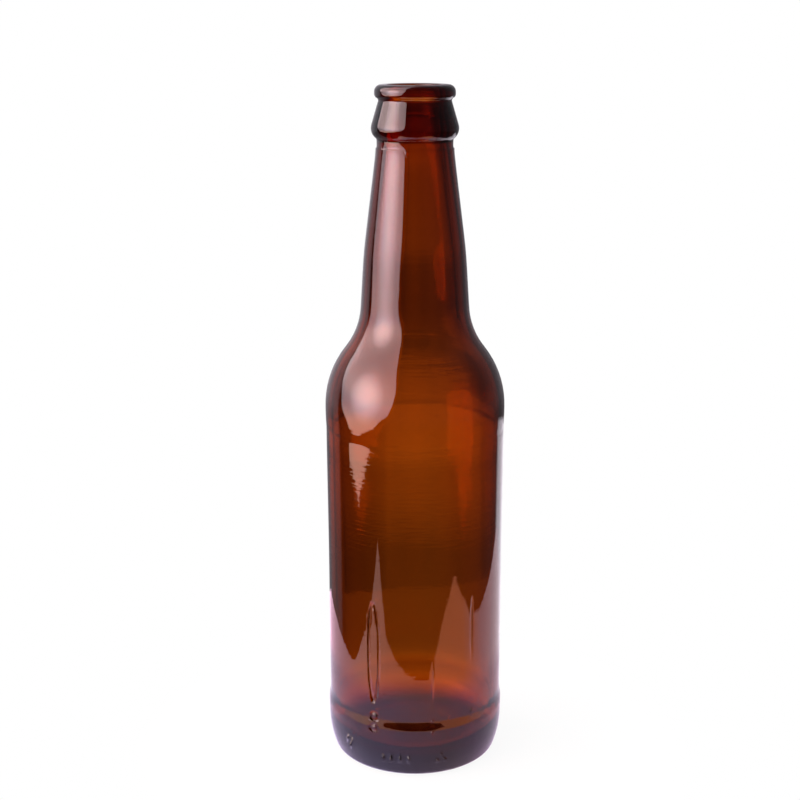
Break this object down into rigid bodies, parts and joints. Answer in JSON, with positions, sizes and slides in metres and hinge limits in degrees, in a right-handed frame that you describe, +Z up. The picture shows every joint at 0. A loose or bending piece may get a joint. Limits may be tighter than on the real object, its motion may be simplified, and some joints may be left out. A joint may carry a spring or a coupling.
{
  "type": "glass beer bottle",
  "caption": "Empty long-neck bottle of amber glass with a crown finish, ogee shoulder, recessed label panel and pushed-up base.",
  "frame": {"origin": "middle of the plane that the bottle stands on", "axes": "+Z up along the bottle's axis, from the base to the mouth; the bottle is round, so X and Y are free"},
  "size_m": [0.061, 0.061, 0.232],
  "materials": {
    "amber_glass": "clear amber soda-lime glass, fire-polished inside and mould-surfaced outside"
  },
  "bodies": {
    "root": {"bottle": "amber_glass"}
  },
  "joints": []
}
